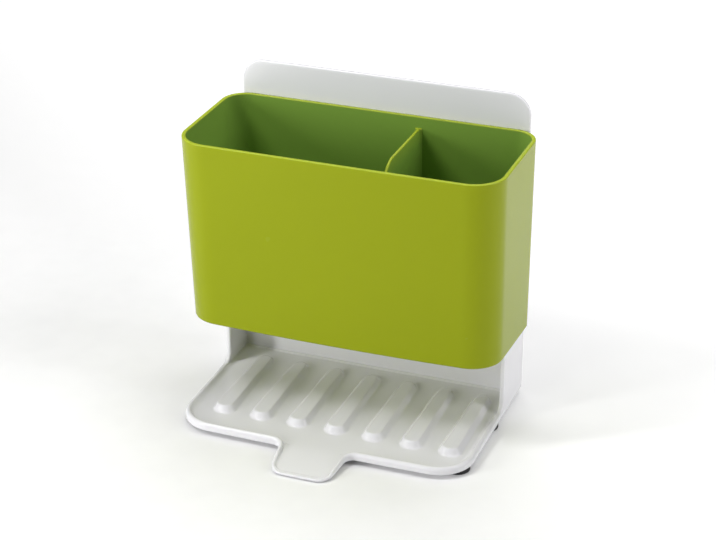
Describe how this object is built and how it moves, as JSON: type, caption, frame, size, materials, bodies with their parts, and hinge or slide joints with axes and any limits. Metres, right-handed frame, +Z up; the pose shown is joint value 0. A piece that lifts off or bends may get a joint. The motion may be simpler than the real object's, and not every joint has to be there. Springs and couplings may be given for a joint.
{
  "type": "kitchen sink caddy",
  "caption": "Sink caddy: a two-compartment utensil bin that lifts off a stand with a tall back plate, a ribbed drip tray and a pouring spout.",
  "frame": {"origin": "on the table, at the middle of the outer box seen from above", "axes": "+Z up, -Y to the front where the spout is, +X to the right seen from the front"},
  "size_m": [0.2016, 0.1482, 0.2014],
  "materials": {
    "stand": "satin moulded white",
    "bin": "satin moulded lime green",
    "foot": "soft black rubber"
  },
  "bodies": {
    "stand": {"stand": "stand", "foot_front_left": "foot", "foot_front_right": "foot", "foot_middle_left": "foot", "foot_middle_right": "foot", "foot_rear_left": "foot", "foot_rear_right": "foot"},
    "bin": {"bin": "bin"}
  },
  "joints": [
    {"name": "bin_lift", "type": "slide", "parent": "stand", "child": "bin", "axis": [0, 0, 1], "range_m": [0, 0.18]}
  ]
}
